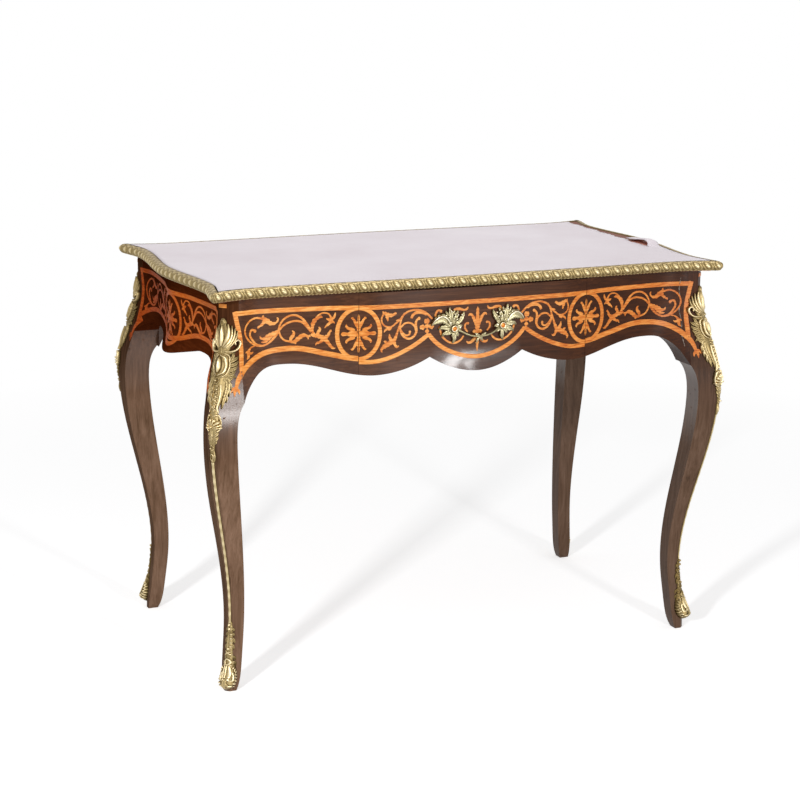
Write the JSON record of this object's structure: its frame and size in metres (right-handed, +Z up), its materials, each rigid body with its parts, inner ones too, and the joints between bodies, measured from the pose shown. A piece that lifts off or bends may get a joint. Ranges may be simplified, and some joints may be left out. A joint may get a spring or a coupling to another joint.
{
  "type": "centre table",
  "caption": "Serpentine marquetry centre table on cabriole legs, with brass mounts, a leather top and a frieze drawer that slides out to the front.",
  "frame": {"origin": "on the floor, under the middle of the top", "axes": "+X to the right of someone facing the drawer, +Y to the back, +Z up; the drawer opens towards -Y"},
  "size_m": [1.0802, 0.6262, 0.76],
  "materials": {
    "rosewood": "dark rosewood veneer, french polished, worn at the edges",
    "oak": "plain oak, unpolished",
    "gilt_brass": "cast and chased brass, aged gilding",
    "writing_leather": "faded smooth leather",
    "steel": "plain steel"
  },
  "bodies": {
    "table": {"corner_blocks": "oak", "corner_mount_back_left": "gilt_brass", "corner_mount_back_right": "gilt_brass", "corner_mount_front_left": "gilt_brass", "corner_mount_front_right": "gilt_brass", "drawer_guide_left": "oak", "drawer_guide_right": "oak", "drawer_kicker_left": "oak", "drawer_kicker_right": "oak", "drawer_runner_left": "oak", "drawer_runner_right": "oak", "edge_moulding_back": "gilt_brass", "edge_moulding_front": "gilt_brass", "edge_moulding_left": "gilt_brass", "edge_moulding_pins": "gilt_brass", "edge_moulding_right": "gilt_brass", "frieze_back": "rosewood", "frieze_front_left": "rosewood", "frieze_front_right": "rosewood", "frieze_left": "rosewood", "frieze_right": "rosewood", "front_bearer_rail": "oak", "front_top_rail": "oak", "leather_top": "writing_leather", "leg_back_left": "rosewood", "leg_back_right": "rosewood", "leg_fillet_back_left": "gilt_brass", "leg_fillet_back_right": "gilt_brass", "leg_fillet_front_left": "gilt_brass", "leg_fillet_front_right": "gilt_brass", "leg_front_left": "rosewood", "leg_front_right": "rosewood", "mount_pins": "gilt_brass", "sabot_back_left": "gilt_brass", "sabot_back_right": "gilt_brass", "sabot_front_left": "gilt_brass", "sabot_front_right": "gilt_brass", "top_board": "oak", "top_screws": "steel"},
    "drawer": {"drawer_back": "oak", "drawer_bottom": "oak", "drawer_front": "rosewood", "drawer_handle": "gilt_brass", "drawer_side_left": "oak", "drawer_side_right": "oak", "handle_bolts": "steel", "handle_nuts": "steel"}
  },
  "joints": [
    {"name": "drawer_slide", "type": "slide", "parent": "table", "child": "drawer", "axis": [0, -1, 0], "range_m": [0, 0.32]}
  ]
}
